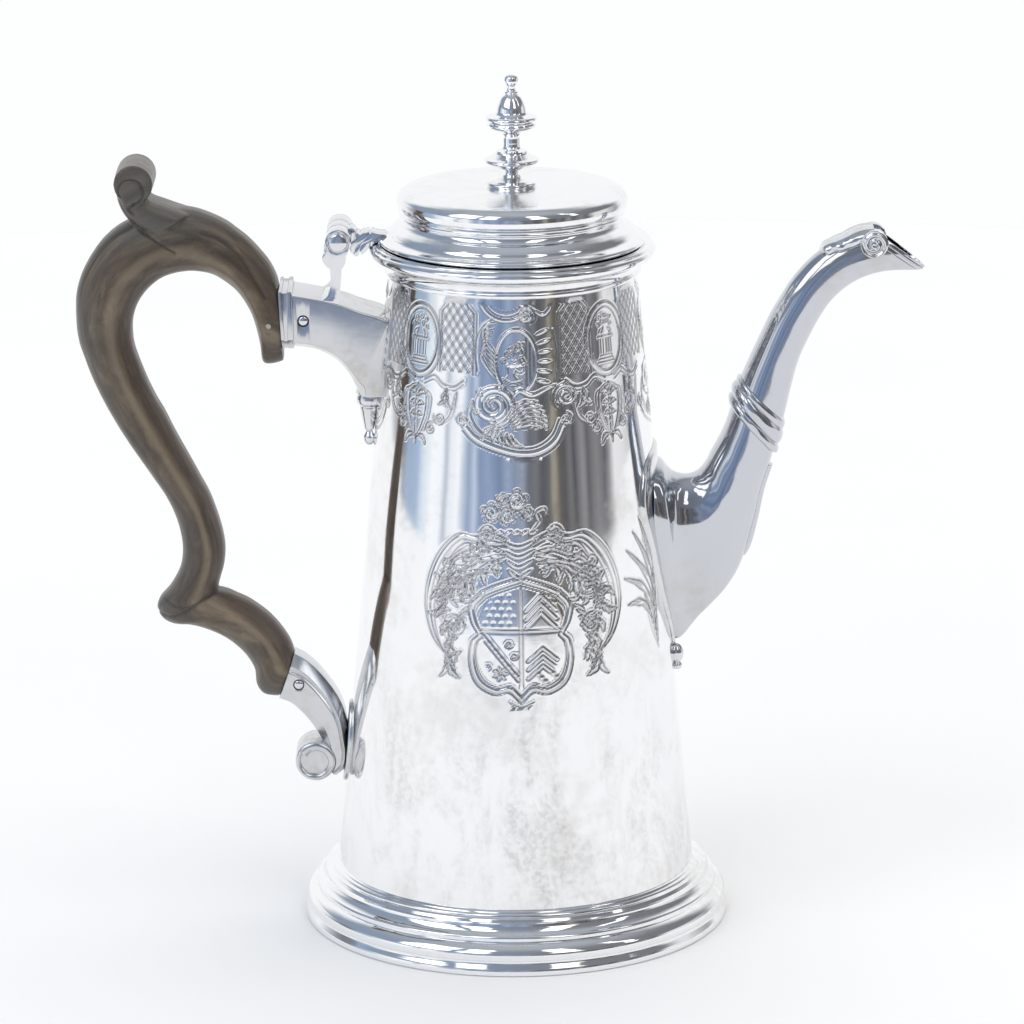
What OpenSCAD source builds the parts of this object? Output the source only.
// Silver coffee pot: tapered body on a moulded foot, swan-neck spout, side-hung hinged lid with
// a turned finial, and a carved wooden double-scroll handle pinned into two silver sockets.
// Origin: centre of the foot's resting plane. +Z up, spout towards +X, handle towards -X. Millimetres.

/* [Body] */
// Height of the mouth above the table
rim_z = 190.6; // [155:0.1:230]
// Radius of the body where it meets the foot
body_r_low = 49.14; // [40:0.01:60]
// Radius of the body at the mouth
body_r_top = 33.08; // [27:0.01:40]
// Thickness of the raised silver wall
wall = 0.9; // [0.7:0.1:1.5]
// How far the foot spreads beyond the body
foot_spread = 9.46; // [7:0.01:13]
// Height of the moulded foot
foot_h = 15.8; // [12:0.1:20]
// Radius of one strainer hole behind the spout
strain_r = 1.5; // [1:0.1:2]

/* [Spout] */
// Reach of the spout's upper half beyond its root
spout_out = 51.8; // [40:0.1:64]
// Thickness of the spout's wall
spout_wall = 0.9; // [0.7:0.1:1.3]

/* [Handle] */
// Depth of the handle behind its sockets
handle_out = 54.7; // [44:0.1:66]
// Half width of the handle's grip
grip_w = 8.6; // [7:0.1:10.5]
// Half width of the upper socket
socket_w = 9.0; // [8:0.1:11]
// Radius of the handle's fixing pins
pin_r = 1.3; // [0.8:0.05:1.6]

/* [Lid] */
// Height of the domed lid above the rim
lid_h = 14.9; // [12:0.1:20]
// Height of the finial above the lid
finial_h = 30.5; // [24:0.1:38]
// Gap between the lid's inner ring and the mouth
lid_gap = 0.6; // [0.45:0.05:1]

/* [Hinge] */
// Radius of the hinge's barrel
barrel_r = 3.5; // [3:0.1:4.2]
// Length of the hinge's barrel
barrel_l = 20.8; // [16:0.1:24]
// Radius of the hinge pin
hinge_pin_r = 1.25; // [1:0.05:1.6]
// Radial play between the pin and the knuckles
hinge_play = 0.05; // [0.03:0.01:0.09]

/* [Hidden] */
$fn = 96;
dz = rim_z - 190.6;
foot_r = body_r_low + foot_spread;
reach_h = handle_out - 54.7;
reach_s = spout_out - 51.8;
silver = [0.80, 0.81, 0.83];
wood = [0.42, 0.33, 0.25];
// wall radius at a height, and the reference taper that the fittings are laid out on
function rb(z) = body_r_low + (body_r_top - body_r_low) * (z - foot_h) / (rim_z - foot_h);
function r0(z) = 49.14 - 0.09188 * (z - 15.8);
// heights under the upper fittings stretch with the body, the fittings round the mouth stay whole
function zm(z) = z <= 148 ? z * (148 + dz) / 148 : z + dz;
function off(z) = rb(zm(z)) - r0(z);
top_off = off(176);
low_off = off(56);
spo_off = off(104);
function hoff(z) = z > 148 ? top_off : z < 90 ? low_off : low_off + (top_off - low_off) * (z - 90) / 58;
function hx(x, z) = x - hoff(z) - reach_h * max(0, (-x - 64) / 54.7);
function sx(x, z) = x + spo_off + reach_s * max(0, (x - 60) / 51.8);
function hst(s, k = 1) = [for (q = s) [hx(q[0], q[1]), zm(q[1]), hx(q[2], q[3]), zm(q[3]), q[4] * k, (len(q) > 5 ? q[5] : q[4]) * k]];
function sst(s) = [for (q = s) [sx(q[0], q[1]), zm(q[1]), sx(q[2], q[3]), zm(q[3]), q[4], len(q) > 5 ? q[5] : q[4]]];
// closed section in the plane of a station: first value runs from edge A to edge B, second along Y
function soft(n, p) = [for (i = [0:n - 1]) let (t = 360 * (i + 0.5) / n, c = cos(t), s = sin(t)) [sign(c) * pow(abs(c), 2 / p), sign(s) * pow(abs(s), 2 / p)]];
function ring(q, sc) = [for (s = sc) [(q[0] + q[2]) / 2 + s[0] * (q[2] - q[0]) / 2, s[1] * (q[4] + (q[5] - q[4]) * (s[0] + 1) / 2), (q[1] + q[3]) / 2 + s[0] * (q[3] - q[1]) / 2]];
function skin(n, m, o) = [for (j = [0:m - 2], i = [0:n - 1], k = [0, 1]) let (a = o + j * n + i, b = o + j * n + (i + 1) % n) k == 0 ? [a, a + n, b + n] : [a, b + n, b]];
function back(f) = [for (t = f) [t[2], t[1], t[0]]];
// the same stations drawn in by a wall thickness
function inner(st, t) = [for (q = st) let (dx = q[2] - q[0], dy = q[3] - q[1], l = sqrt(dx * dx + dy * dy)) [q[0] + dx / l * t * 1.1, q[1] + dy / l * t * 1.1, q[2] - dx / l * t * 1.1, q[3] - dy / l * t * 1.1, q[4] - t, q[5] - t]];

module sweep(st, sc) {
    n = len(sc);
    m = len(st);
    polyhedron(points = [for (q = st) each ring(q, sc)],
        faces = concat(skin(n, m, 0), [[for (i = [0:n - 1]) i]], [[for (i = [0:n - 1]) m * n - 1 - i]]));
}

module tube(so, si, sc) {
    n = len(sc);
    m = len(so);
    e = m * n;
    polyhedron(points = concat([for (q = so) each ring(q, sc)], [for (q = si) each ring(q, sc)]),
        faces = concat(skin(n, m, 0), back(skin(n, m, e)),
            [for (i = [0:n - 1], k = [0, 1]) let (j = (i + 1) % n) k == 0 ? [i, j, e + j] : [i, e + j, e + i]],
            [for (i = [0:n - 1], k = [0, 1]) let (j = (i + 1) % n, o = (m - 1) * n) k == 0 ? [o + i, e + o + j, o + j] : [o + i, e + o + i, e + o + j]]));
}

module lathe(p) rotate_extrude($fn = 128) polygon(p);
// flat plate shape standing in XZ, thickness along Y
module upright(p, w) translate([0, w, 0]) rotate([90, 0, 0]) linear_extrude(2 * w) polygon(p);
module body_solid(t) lathe([[0, -1], [rb(-1) + t, -1], [rb(240) + t, 240], [0, 240]]);
module cross_pin(x, z, r, w) translate([x, w, z]) rotate([90, 0, 0]) cylinder(r = r, h = 2 * w, $fn = 48);

// ---- body ----
module body_shell() color(silver) difference() {
    lathe([[rb(foot_h), foot_h], [rb(rim_z), rim_z], [rb(rim_z) - wall, rim_z], [rb(foot_h) - wall, foot_h]]);
    for (a = [0:60:300]) for (d = [4.6, 9.2])
        translate([0, d * cos(a + (d > 5 ? 30 : 0)) * (d > 5 ? 0.87 : 1), zm(108) + d * sin(a + (d > 5 ? 30 : 0))])
            rotate([0, 90, 0]) cylinder(r = strain_r, h = 80, $fn = 32);
    translate([0, 0, zm(108)]) rotate([0, 90, 0]) cylinder(r = strain_r, h = 80, $fn = 32);
}

module body_base() color(silver)
    lathe([[0, foot_h + 1.4], [rb(foot_h + 1.4) - wall, foot_h + 1.4], [rb(foot_h + 2.4) - wall, foot_h + 2.4], [0, foot_h + 2.4]]);

module foot_ring() {
    d = foot_r - 58.6;
    k = foot_h / 15.8;
    u = rb(foot_h) - 49.14;
    color(silver) lathe([
        [56.9 + d, 0], [58.5 + d, 0], [58.7 + d, 0.6 * k], [58.6 + d, 1.6 * k], [58.2 + d, 2.5 * k], [57.9 + d, 3.2 * k], [57.8 + d, 3.9 * k],
        [58.15 + d, 4.5 * k], [58.3 + d, 5.3 * k], [58.2 + d, 6.1 * k], [57.8 + d, 6.9 * k], [57.2 + d, 7.6 * k], [56.4 + d, 8.2 * k], [55.6 + d, 8.6 * k],
        [55.45 + d, 9.0 * k], [55.5 + d, 9.6 * k], [55.3 + d, 10.1 * k], [54.6 + d, 10.5 * k], [54 + (d + u) / 2, 11.0 * k], [53.5 + (d + u) / 2, 11.6 * k],
        [53.15 + (d + u) / 2, 12.3 * k], [53.0 + (d + u) / 2, 13.0 * k], [52.2 + u, 13.2 * k], [51.9 + u, 13.6 * k], [51.7 + u, 14.1 * k], [51.1 + u, 14.25 * k],
        [51.0 + u, 14.7 * k], [50.6 + u, 15.1 * k], [50.0 + u, 15.25 * k], [49.8 + u, 15.5 * k], [49.5 + u, 15.8 * k],
        [47.4 + u, foot_h], [47.4 + u, 14.6 * k], [49.2 + u, 13.9 * k], [50.7 + u, 12.8 * k], [51.8 + (d + u) / 2, 11.2 * k], [53.0 + (d + u) / 2, 9.4 * k],
        [54.2 + d, 8.3 * k], [55.9 + d, 7.2 * k], [56.9 + d, 5.8 * k], [56.6 + d, 4.2 * k], [56.7 + d, 2.4 * k]]);
}

module rim_moulding() color(silver) translate([0, 0, dz]) lathe([for (p = [
    [34.109, 179.4], [34.5, 179.5], [34.7, 180.2], [34.6, 181.0], [34.35, 181.4], [34.8, 181.8], [35.0, 182.5],
    [34.9, 183.3], [34.5, 183.8], [34.5, 184.4], [34.8, 185.1], [35.3, 185.8], [36.1, 186.4], [37.2, 186.8], [38.2, 187.1],
    [38.75, 187.6], [38.9, 188.3], [38.8, 189.0], [38.4, 189.5], [38.1, 189.7], [37.95, 190.2], [37.6, 190.6],
    [33.08, 190.6]]) [p[0] + off(p[1]), p[1]]]);

// ---- spout ----
lower_st = sst([
    [37.5, 130.4, 42.6, 77.4, 19.5, 6.5], [40.4, 128.8, 45.2, 77.8, 18.5, 5.5], [42.0, 127.0, 47.0, 79.3, 15.5, 5.2], [43.6, 125.5, 48.6, 81.4, 13.0, 5.4],
    [45.8, 124.7, 50.9, 84.3, 11.4, 6.0], [48.3, 124.7, 54.3, 87.8, 10.4, 6.8], [50.6, 125.8, 58.2, 92.3, 9.7, 7.4], [52.4, 127.9, 61.5, 97.6, 9.2, 7.9],
    [54.0, 131.0, 64.0, 104.4, 8.8, 8.1], [55.7, 134.2, 66.2, 112.8, 8.3, 8.0], [57.1, 137.0, 67.9, 120.9, 8.0, 7.9], [58.7, 141.2, 70.4, 128.6, 7.7], [60.4, 147.2, 71.9, 134.6, 7.5]]);
upper_st = sst([
    [60.4, 147.2, 71.9, 134.6, 7.5], [62.2, 152.2, 73.9, 140.6, 7.3], [64.7, 158.1, 75.8, 148.9, 6.9], [67.4, 164.0, 77.9, 156.9, 6.6], [70.1, 169.8, 80.6, 163.1, 6.3],
    [72.7, 174.3, 83.3, 168.4, 6.1], [75.4, 178.7, 86.4, 173.1, 5.9], [78.9, 183.0, 89.9, 176.6, 5.7], [83.2, 187.0, 93.3, 178.9, 5.5], [88.4, 189.8, 96.7, 180.4, 5.3],
    [94.2, 191.6, 99.7, 181.2, 5.0], [99.8, 193.0, 102.6, 181.6, 4.6], [105.2, 192.0, 105.6, 181.7, 3.9], [109.6, 188.6, 108.4, 181.7, 2.9], [112.1, 185.2, 110.9, 181.8, 1.5], [112.5, 183.4, 111.6, 182.2, 0.5]]);
bore_st = sst([
    [60.0, 146.0, 71.5, 133.4, 6.6], [61.8, 151.0, 72.9, 140.0, 6.3], [65.6, 157.5, 74.9, 149.7, 6.0], [68.3, 163.4, 77.0, 157.5, 5.7], [70.9, 169.2, 79.7, 163.7, 5.4],
    [73.5, 173.8, 82.4, 168.9, 5.2], [76.2, 178.2, 85.6, 173.6, 5.0], [79.6, 182.3, 89.2, 177.3, 4.8], [83.8, 186.2, 92.7, 179.7, 4.6], [89.0, 189.0, 96.2, 181.3, 4.4],
    [94.7, 190.7, 99.2, 182.1, 4.1], [99.9, 193.0, 102.4, 182.6, 3.7], [105.6, 193.6, 105.7, 182.7, 3.0], [110.8, 191.4, 108.5, 183.0, 2.1], [114.6, 188.4, 110.3, 183.4, 1.0]]);
spo = soft(20, 2.25);

module spout_blank() sweep(upper_st, spo);

module spout_plate() color(silver) difference() {
    intersection() {
        body_solid(1.0);
        translate([20, 0, 0]) rotate([90, 0, 90]) linear_extrude(60) polygon(concat(
            [for (p = plate_pts) [p[0], zm(p[1])]], [for (i = [len(plate_pts) - 1:-1:0]) [-plate_pts[i][0], zm(plate_pts[i][1])]]));
    }
    body_solid(0);
    translate([0, 0, zm(108)]) rotate([0, 90, 0]) cylinder(r = 11, h = 80, $fn = 48);
}
plate_pts = [[1.6, 76.6], [3.6, 79.2], [6.6, 83.4], [9.5, 87.8], [12.7, 94.5], [14.9, 101.5], [16.3, 107.6], [17.9, 112.7], [19.1, 116.5], [19.6, 120.6], [18.7, 124.9], [16.8, 128.7], [13.6, 131.6], [9.4, 133.1], [4.5, 133.7]];

module spout_drop() color(silver) difference() {
    translate([rb(zm(73)) + 0.9, 0, zm(73)]) rotate([0, -5.3, 0]) lathe([[0, -4.2], [1.0, -3.8], [1.2, -2.9], [0.8, -2.1], [1.5, -1.2], [2.0, 0.2], [1.8, 1.8], [1.1, 3.0], [0, 3.5]]);
    body_solid(0);
}

module spout_lower() color(silver) difference() {
    tube(lower_st, inner(lower_st, spout_wall), spo);
    body_solid(1.0);
}

module spout_keel() {
    rib = sst([for (q = [[63.3, 101.7, 0.9], [64.6, 106.2, 1.0], [66.2, 112.8, 1.0], [67.9, 120.9, 1.0], [70.0, 127.6, 1.0]])
        [q[0] - 1.6, q[1] + 0.4, q[0] + q[2], q[1] - 0.2, 3.1, 2.2]]);
    color(silver) difference() {
        sweep(rib, soft(12, 3));
        sweep(lower_st, spo);
    }
}

module spout_collar() {
    function mid(t) = t < 0.5 ? [for (i = [0:5]) lower_st[11][i] + (lower_st[12][i] - lower_st[11][i]) * (0.5 + t)] : [for (i = [0:5]) upper_st[0][i] + (upper_st[1][i] - upper_st[0][i]) * (t - 0.5) * 1.6];
    function grow(q, e) = let (dx = q[2] - q[0], dy = q[3] - q[1], l = sqrt(dx * dx + dy * dy)) [q[0] - dx / l * e, q[1] - dy / l * e, q[2] + dx / l * e, q[3] + dy / l * e, q[4] + e * 0.85, q[5] + e * 0.85];
    prof = [[0, 0.25], [0.04, 0.9], [0.14, 1.45], [0.28, 1.45], [0.4, 0.9], [0.45, 0.4], [0.52, 0.9], [0.62, 1.5], [0.74, 1.5], [0.84, 0.95], [0.88, 0.45], [0.92, 0.8], [1.0, 0.95], [1.08, 0.7], [1.12, 0.2]];
    color(silver) tube([for (p = prof) grow(mid(p[0]), p[1])], [for (p = prof) mid(p[0])], spo);
}

module mouth_cut() translate([sx(100.6, 191.5), -20, zm(191.5)]) rotate([0, 37.3, 0]) cube([40, 40, 30]);
module spout_upper() color(silver) difference() {
    spout_blank();
    sweep(bore_st, spo);
    mouth_cut();
}

vol_x = sx(97.9, 190);
vol_z = zm(190);
module spout_volutes() color(silver) difference() {
    union() {
        translate([vol_x, 6.1, vol_z]) rotate([90, 0, 0]) cylinder(r = 3.8, h = 12.2, $fn = 64);
        translate([vol_x, 6.5, vol_z]) rotate([90, 0, 0]) cylinder(r = 2.2, h = 13, $fn = 48);
    }
    spout_blank();
}

module spout_strap() {
    st = sst([[83.2, 187.5, 84.9, 185.2, 3.0], [84.4, 189.3, 86.4, 186.4, 4.6], [86.6, 190.4, 88.3, 187.3, 5.4], [89.2, 191.5, 90.6, 188.0, 5.9], [91.8, 192.9, 93.0, 188.9, 6.0],
        [94.4, 193.9, 94.9, 189.6, 6.0], [97.9, 194.3, 97.9, 189.8, 6.0]]);
    color(silver) difference() {
        sweep(st, soft(16, 3));
        spout_blank();
        translate([vol_x, 20, vol_z]) rotate([90, 0, 0]) cylinder(r = 3.8, h = 40, $fn = 64);
    }
}

// ---- handle and sockets ----
up_pin = [hx(-56.7, 170.5), zm(170.5)];
lo_pin = [hx(-59.6, 67.0), zm(67.0)];
peg = [hx(-66.2, 168.9), zm(168.9)];
handle_st = hst([
    [-62.4, 157.9, -63.33, 177.4, 8.5], [-65.2, 157.1, -63.8, 180.6, 8.6], [-67.9, 157.4, -65.6, 184.7, 8.6], [-68.6, 161.8, -68.7, 188.8, 8.6], [-69.4, 166.0, -71.6, 191.9, 8.6],
    [-70.6, 170.2, -74.3, 194.1, 8.6], [-72.5, 174.1, -77.7, 196.6, 8.6], [-74.9, 177.5, -81.8, 198.6, 8.6], [-77.8, 180.0, -85.8, 200.0, 8.6], [-81.0, 182.0, -89.8, 200.6, 8.6],
    [-84.8, 182.9, -93.5, 200.4, 8.6], [-88.1, 183.0, -97.0, 199.8, 8.6], [-91.6, 182.4, -100.4, 198.8, 8.6], [-94.9, 181.2, -103.5, 197.1, 8.6], [-97.9, 179.0, -107.0, 195.2, 8.6],
    [-100.4, 176.2, -111.0, 191.7, 8.6], [-102.1, 173.2, -114.6, 186.7, 8.6], [-103.2, 169.5, -117.2, 181.4, 8.6], [-103.4, 166.2, -118.5, 176.2, 8.6], [-103.1, 162.5, -118.7, 169.8, 8.5],
    [-102.2, 159.2, -118.1, 163.8, 8.5], [-100.9, 155.5, -116.6, 158.8, 8.4], [-99.4, 151.6, -114.9, 153.8, 8.3], [-97.3, 147.1, -112.6, 148.4, 8.2], [-95.2, 143.4, -110.2, 143.5, 8.1],
    [-92.6, 138.0, -107.0, 137.8, 8.0], [-88.6, 130.3, -102.3, 130.4, 7.8], [-86.0, 125.2, -98.9, 125.2, 7.7], [-83.4, 120.1, -95.6, 120.1, 7.6], [-81.5, 114.8, -93.1, 114.8, 7.5],
    [-80.0, 109.4, -91.5, 109.0, 7.4], [-79.4, 104.6, -91.1, 104.0, 7.4], [-79.9, 99.8, -91.8, 99.6, 7.4], [-80.9, 96.4, -93.2, 96.5, 7.4], [-81.4, 94.4, -95.1, 93.5, 7.4],
    [-81.3, 93.0, -97.8, 90.4, 7.4], [-80.4, 92.8, -98.5, 87.9, 7.4], [-78.4, 92.3, -97.0, 84.9, 7.4], [-76.4, 91.3, -94.2, 83.4, 7.3], [-74.6, 90.5, -90.0, 83.1, 7.3],
    [-72.9, 89.6, -85.8, 82.0, 7.2], [-70.2, 87.7, -80.8, 79.8, 7.2], [-67.5, 85.5, -76.8, 76.9, 7.1], [-64.8, 82.5, -73.9, 73.7, 7.0], [-62.6, 79.3, -71.9, 69.8, 7.0],
    [-61.7, 77.6, -71.5, 65.6, 6.9], [-61.2, 76.2, -69.6, 62.9, 6.9], [-60.8, 75.0, -65.2, 62.2, 6.8]], grip_w / 8.6);
thumb_st = hst([[-97.0, 194.0, -87.0, 199.5, 8.4], [-102.6, 196.6, -93.6, 201.8, 8.5], [-105.6, 200.6, -97.9, 203.6, 8.6], [-106.8, 204.6, -97.5, 206.6, 8.6], [-106.4, 208.2, -98.0, 208.4, 8.6]], grip_w / 8.6);
roll_x = hx(-101.9, 208.2);
roll_z = zm(208.2);

// the handle's end face, and the ferrule's face a fit's width in front of it
seat_fit = 0.03;
function seat_x(z) = let (a = handle_st[0]) a[0] + (a[2] - a[0]) * (z - a[1]) / (a[3] - a[1]) + seat_fit;

module handle() color(wood) difference() {
    union() {
        sweep(handle_st, soft(16, 2.7));
        sweep(thumb_st, soft(16, 3.2));
        translate([roll_x, grip_w, roll_z]) rotate([90, 0, 0]) cylinder(r = 5.3, h = 2 * grip_w, $fn = 64);
        // tongues that go into the sockets
        upright([[hx(-66, 172), zm(165.4)], [hx(-66, 172), zm(174.3)], [hx(-52.4, 172), zm(173.55)], [hx(-52.4, 172), zm(166.25)]], 5.6);
        upright([[hx(-66, 72), zm(68.2)], [hx(-62.6, 72), zm(73.1)], [hx(-56.3, 72), zm(68.4)], [hx(-59.4, 72), zm(62.95)]], 4.2);
    }
    cross_pin(up_pin[0], up_pin[1], pin_r, 20);
    cross_pin(lo_pin[0], lo_pin[1], pin_r, 20);
    cross_pin(peg[0], peg[1], 0.7, 20);
}

module handle_peg() color(wood) intersection() {
    cross_pin(peg[0], peg[1], 0.7, 20);
    sweep(handle_st, soft(16, 2.7));
}

module upper_socket() {
    st = hst([[-59.6, 177.5, -59.3, 162.4, 1], [-55.5, 176.8, -55.4, 162.0, 1], [-51.6, 176.0, -51.8, 160.9, 1], [-47.9, 175.2, -48.5, 159.0, 1], [-44.4, 174.1, -45.8, 156.4, 1],
        [-41.3, 172.9, -43.9, 153.5, 1], [-37.0, 171.6, -42.7, 150.9, 1], [-30.0, 169.0, -42.1, 149.6, 1], [-27.0, 160.0, -42.0, 149.2, 1], [-27.0, 149.4, -41.9, 149.0, 1]], socket_w);
    color(silver) difference() {
        sweep(st, [[1, 0.45], [0.72, 1], [-1, 1], [-1, -1], [0.72, -1], [1, -0.45]]);
        body_solid(0);
        upright([[hx(-70, 172), zm(165.1)], [hx(-70, 172), zm(174.7)], [hx(-52, 172), zm(173.7)], [hx(-52, 172), zm(166.1)]], 5.7);
        cross_pin(up_pin[0], up_pin[1], pin_r, 20);
    }
}

module socket_ferrule() color(silver) difference() {
    upright([[seat_x(zm(162.3)), zm(162.3)], [seat_x(zm(178.7)), zm(178.7)], [hx(-59.9, 170), zm(178.7)], [hx(-59.6, 170), zm(177.5)], [hx(-59.3, 170), zm(162.3)]], socket_w + 0.6);
    upright([[hx(-70, 172), zm(165.1)], [hx(-70, 172), zm(174.7)], [hx(-52, 172), zm(173.7)], [hx(-52, 172), zm(166.1)]], 5.7);
    for (s = [-1, 1]) translate([0, s * (socket_w + 0.6), zm(162.3)]) rotate([45, 0, 0]) cube([200, 4.4, 4.4], center = true);
}

module socket_drop() color(silver) difference() {
    translate([hx(-39.4, 150), 0, zm(149)]) scale([1, 1, 1]) lathe([[0, -15.6], [0.9, -15.2], [1.5, -14.2], [1.6, -13.0], [1.1, -12.0], [0.9, -11.4], [1.3, -10.9], [1.9, -8.0], [2.5, -5.0], [2.5, -4.2], [3.2, -3.7], [3.4, -2.4], [3.1, -1.2], [3.5, -0.7], [3.5, 0], [0, 0]]);
    body_solid(0);
}

module upper_handle_pin() color(silver) cross_pin(up_pin[0], up_pin[1], pin_r, socket_w + 0.3);
module lower_handle_pin() color(silver) cross_pin(lo_pin[0], lo_pin[1], pin_r, 7.3 * grip_w / 8.6);

low_k = grip_w / 8.6;
module lower_socket() {
    st = hst([[-60.8, 75.0, -65.2, 62.2, 6.9], [-58.0, 73.4, -62.0, 60.9, 6.9], [-55.3, 71.1, -59.7, 58.9, 6.8], [-52.6, 68.0, -57.6, 56.6, 6.7], [-49.9, 64.2, -55.6, 53.9, 6.6],
        [-48.0, 60.6, -54.2, 51.5, 6.5], [-46.9, 56.6, -53.1, 49.1, 6.4], [-46.2, 51.2, -52.5, 46.9, 6.3], [-45.8, 46.8, -52.3, 45.8, 6.2], [-46.6, 42.4, -52.6, 44.8, 6.0], [-49.6, 39.6, -53.2, 44.0, 6.0]], low_k);
    color(silver) difference() {
        sweep(st, [[1, 0.55], [0.45, 1], [-0.55, 1], [-1, 0.5], [-1, -0.5], [-0.55, -1], [0.45, -1], [1, -0.55]]);
        body_solid(0.9);
        upright([[hx(-69, 72), zm(67.8)], [hx(-65, 72), zm(75.2)], [hx(-55.9, 72), zm(68.5)], [hx(-59.2, 72), zm(62.6)]], 4.3);
        cross_pin(lo_pin[0], lo_pin[1], pin_r, 20);
        translate([hx(-55.3, 44.5), 20, zm(44.5)]) rotate([90, 0, 0]) cylinder(r = 5.6, h = 40, $fn = 64);
    }
}

module socket_volute() color(silver) translate([hx(-55.3, 44.5), 0, zm(44.5)]) rotate([90, 0, 0]) {
    translate([0, 0, -6.1 * low_k]) cylinder(r = 5.6, h = 12.2 * low_k, $fn = 64);
    translate([0, 0, -6.5 * low_k]) cylinder(r = 3.9, h = 13 * low_k, $fn = 64);
}

module lower_plate() color(silver) difference() {
    intersection() {
        body_solid(0.9);
        translate([-60, 0, 0]) rotate([90, 0, 90]) linear_extrude(50) polygon([for (a = [0:15:345]) [7.6 * sin(a), zm(49) + 11.6 * cos(a)]]);
    }
    body_solid(0);
}

// ---- hinge ----
hin_x = -46.9 - top_off;
hin_z = 192.4 + dz;
knuck = barrel_l / 2 - 6.7;
function ux(p) = [for (q = p) [q[0] - top_off, q[1] + dz]];

module hinge_bracket() {
    deck = [hx(-51.4, 176) , zm(175.95)];
    color(silver) difference() {
        union() {
            for (s = [-1, 1]) translate([hin_x, s > 0 ? barrel_l / 2 : -knuck, hin_z]) rotate([90, 0, 0]) cylinder(r = barrel_r, h = barrel_l / 2 - knuck, $fn = 64);
            // cheeks under the outer knuckles
            for (s = [-1, 1]) translate([0, s * (knuck + barrel_l / 2) / 2, 0]) upright(ux([[-50.2, 191.4], [-51.0, 187.8], [-50.2, 186.0], [-49.0, 184.8], [-46.4, 184.8], [-45.4, 186.2], [-44.9, 188.2], [-44.2, 190.6]]), (barrel_l / 2 - knuck) / 2);
            // tapering strap down to the socket
            upright(ux([[-49.3, 186.2], [-49.1, 183.0], [-49.3, 179.4], [-50.3, 177.0], [-51.6, 176.0], [-47.3, 175.08], [-46.9, 176.6], [-46.6, 179.0], [-46.3, 183.0], [-46.0, 186.2]]), barrel_l / 2 - 1.6);
        }
        translate([hin_x, 30, hin_z]) rotate([90, 0, 0]) cylinder(r = hinge_pin_r + hinge_play, h = 60, $fn = 48);
        translate([hin_x, knuck, hin_z]) rotate([90, 0, 0]) cylinder(r = barrel_r + 0.5, h = 2 * knuck, $fn = 64);
    }
}

module hinge_pin() color(silver) {
    translate([hin_x, barrel_l / 2 + 0.5, hin_z]) rotate([90, 0, 0]) cylinder(r = hinge_pin_r, h = barrel_l + 1, $fn = 48);
    for (s = [-1, 1]) translate([hin_x, s > 0 ? barrel_l / 2 + 0.7 : -barrel_l / 2, hin_z]) rotate([90, 0, 0]) cylinder(r = 2.5, h = 0.7, $fn = 48);
}

// ---- lid ----
lz = rim_z + 0.25;
lu = rb(rim_z) - 33.08;
bez_r = rb(rim_z) - wall - lid_gap;
lk = lid_h / 14.9;
module lid_flange() color(silver) translate([0, 0, lz]) lathe([
    [bez_r, 0], [36.0 + lu, 0], [36.3 + lu, 0.25], [36.25 + lu, 0.8], [35.8 + lu, 1.2], [35.1 + lu, 1.5 * lk], [34.3 + lu, 1.8 * lk], [33.7 + lu, 2.3 * lk], [33.3 + lu, 3.0 * lk],
    [32.6 + lu, 3.8 * lk], [31.6 + lu, 4.6 * lk], [30.7 + lu, 5.3 * lk], [30.2 + lu, 6.0 * lk], [30.0 + lu, 6.6 * lk], [30.3 + lu, 6.9 * lk], [30.6 + lu, 7.4 * lk],
    [30.5 + lu, 7.9 * lk], [30.1 + lu, 8.2 * lk], [28.7 + lu, 8.2 * lk], [28.7 + lu, 5.6 * lk], [30.0 + lu, 4.4 * lk], [bez_r, 2.6 * lk]]);

module lid_dome() color(silver) translate([0, 0, lz]) lathe([
    [29.2 + lu, 8.2 * lk], [30.1 + lu, 8.2 * lk], [30.0 + lu, 8.6 * lk], [30.6 + lu, 8.9 * lk], [31.1 + lu, 9.4 * lk], [31.3 + lu, 10.1 * lk], [31.35 + lu, 11.2 * lk], [31.2 + lu, 12.1 * lk],
    [30.7 + lu, 13.0 * lk], [29.8 + lu, 13.7 * lk], [28.6 + lu, 14.15 * lk], [27.0 + lu, 14.4 * lk], [22, 14.6 * lk], [15, 14.8 * lk], [6.9, 14.9 * lk], [1.3, 14.9 * lk],
    [1.3, 13.9 * lk], [4.5, 13.9 * lk], [15, 13.8 * lk], [22, 13.6 * lk], [26.6 + lu, 13.4 * lk], [28.4 + lu, 13.0 * lk], [29.5 + lu, 12.2 * lk], [30.1 + lu, 11.2 * lk], [30.1 + lu, 10.0 * lk], [29.6 + lu, 9.3 * lk]]);

module lid_bezel() color(silver) translate([0, 0, lz]) lathe([[bez_r - 1, -5.2], [bez_r - 0.3, -5.2], [bez_r, -4.7], [bez_r, 2.6 * lk], [bez_r - 1, 2.6 * lk]]);

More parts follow.
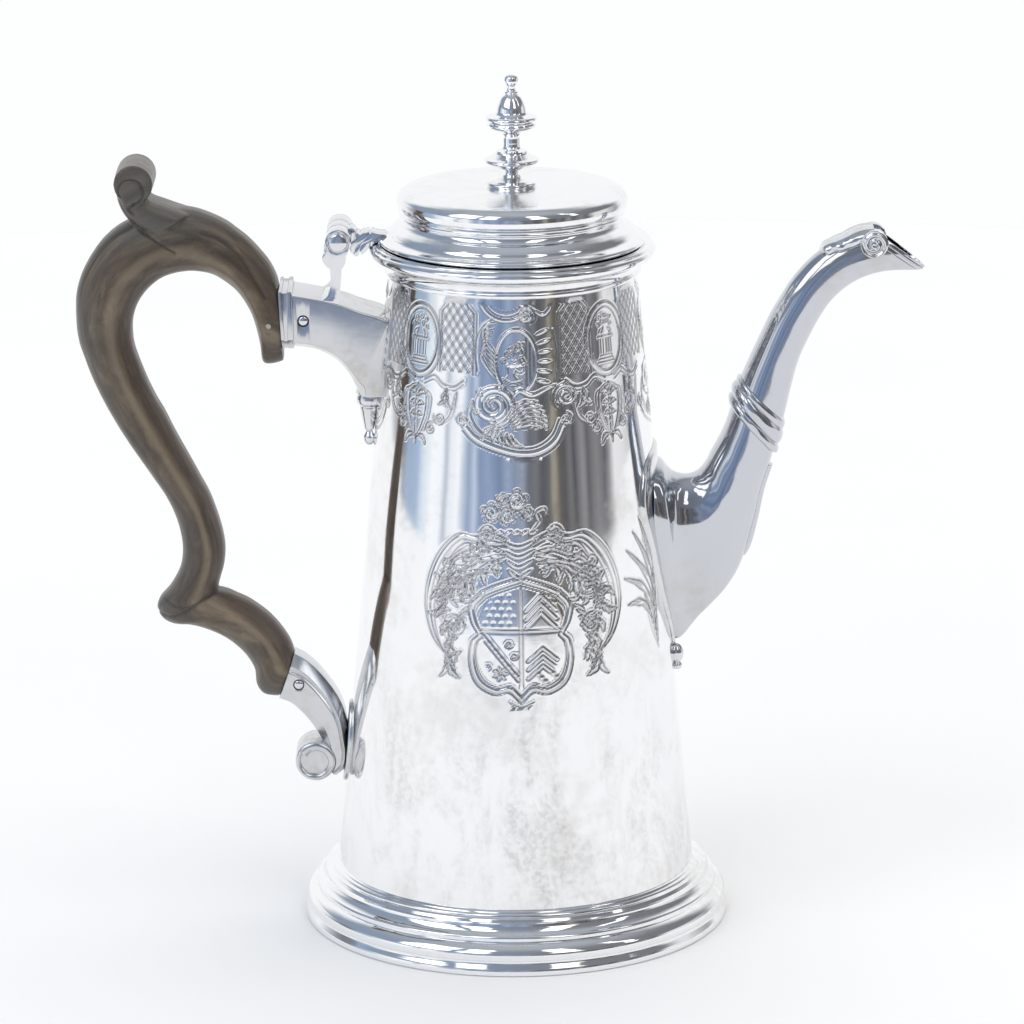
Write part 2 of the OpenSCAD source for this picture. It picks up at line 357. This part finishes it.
module lid_arm() color(silver) difference() {
    union() {
        translate([hin_x, knuck - 0.3, hin_z]) rotate([90, 0, 0]) cylinder(r = barrel_r, h = 2 * (knuck - 0.3), $fn = 64);
        upright(ux([[-46.9, 195.7], [-44.4, 194.9], [-42.6, 193.4], [-41.2, 192.9], [-40.0, 193.4], [-38.2, 193.7], [-36.4, 193.2], [-34.2, 193.0], [-34.2, 190.95], [-38.2, 190.95], [-39.2, 188.9],
            [-40.6, 187.6], [-41.3, 188.4], [-42.0, 187.0], [-43.3, 187.8], [-44.1, 189.8], [-46.9, 190.4]]), knuck - 0.3);
    }
    translate([hin_x, 30, hin_z]) rotate([90, 0, 0]) cylinder(r = hinge_pin_r + hinge_play, h = 60, $fn = 48);
    translate([0, 0, lz]) lathe([[0, -20], [bez_r, -20], [bez_r, 0], [36.0 + lu, 0], [36.3 + lu, 0.25], [36.25 + lu, 0.8], [35.8 + lu, 1.2], [35.1 + lu, 1.5 * lk], [34.3 + lu, 1.8 * lk], [33.7 + lu, 2.3 * lk], [33.3 + lu, 3.0 * lk], [32.6 + lu, 3.8 * lk], [0, 3.8 * lk]]);
}

fz = lz + lid_h;
fk = finial_h / 30.5;
module finial_base() color(silver) translate([0, 0, fz]) lathe([[0, 0], [6.5, 0], [6.8, 0.5 * fk], [6.75, 1.1 * fk], [5.6, 1.6 * fk], [4.0, 2.0 * fk], [2.9, 2.5 * fk], [2.3, 3.1 * fk], [0, 3.1 * fk]]);

module finial() color(silver) translate([0, 0, fz - 205.6]) lathe([for (p = [
    [0, 208.7], [1.9, 208.7], [1.85, 209.3], [2.4, 209.8], [3.6, 210.3], [5.4, 211.1], [6.8, 211.9], [7.5, 212.5], [7.4, 213.0], [6.2, 213.5], [5.2, 214.1], [4.4, 214.7], [4.3, 215.3], [3.0, 215.7],
    [2.4, 216.3], [2.3, 217.8], [2.35, 219.4], [2.7, 220.2], [4.1, 220.8], [5.6, 221.3], [6.4, 221.9], [6.7, 222.6], [6.4, 223.1], [6.7, 223.5], [7.0, 224.1], [6.8, 224.6], [5.6, 225.0],
    [4.5, 225.3], [4.1, 225.9], [3.95, 227.0], [3.6, 228.1], [3.1, 229.2], [2.5, 230.1], [1.7, 230.8], [1.65, 231.4], [1.25, 231.9], [1.2, 232.9], [1.4, 233.4], [1.8, 233.9], [1.95, 234.6],
    [1.8, 235.3], [1.2, 235.9], [0.5, 236.1], [0, 236.1]]) [p[0], 205.6 + (p[1] - 205.6) * fk]]);

module finial_nut() color(silver) translate([0, 0, lz + 13.9 * lk]) {
    translate([0, 0, -2.2]) cylinder(r = 3.2, h = 2.2, $fn = 6);
    translate([0, 0, -3]) cylinder(r = 1.25, h = 3 + lk, $fn = 32);
}

body_shell();
body_base();
foot_ring();
rim_moulding();
spout_plate();
spout_drop();
spout_lower();
spout_keel();
spout_collar();
spout_upper();
spout_volutes();
spout_strap();
handle();
handle_peg();
upper_socket();
socket_ferrule();
socket_drop();
upper_handle_pin();
lower_handle_pin();
lower_socket();
socket_volute();
lower_plate();
hinge_bracket();
hinge_pin();
lid_flange();
lid_dome();
lid_bezel();
lid_arm();
finial_base();
finial();
finial_nut();
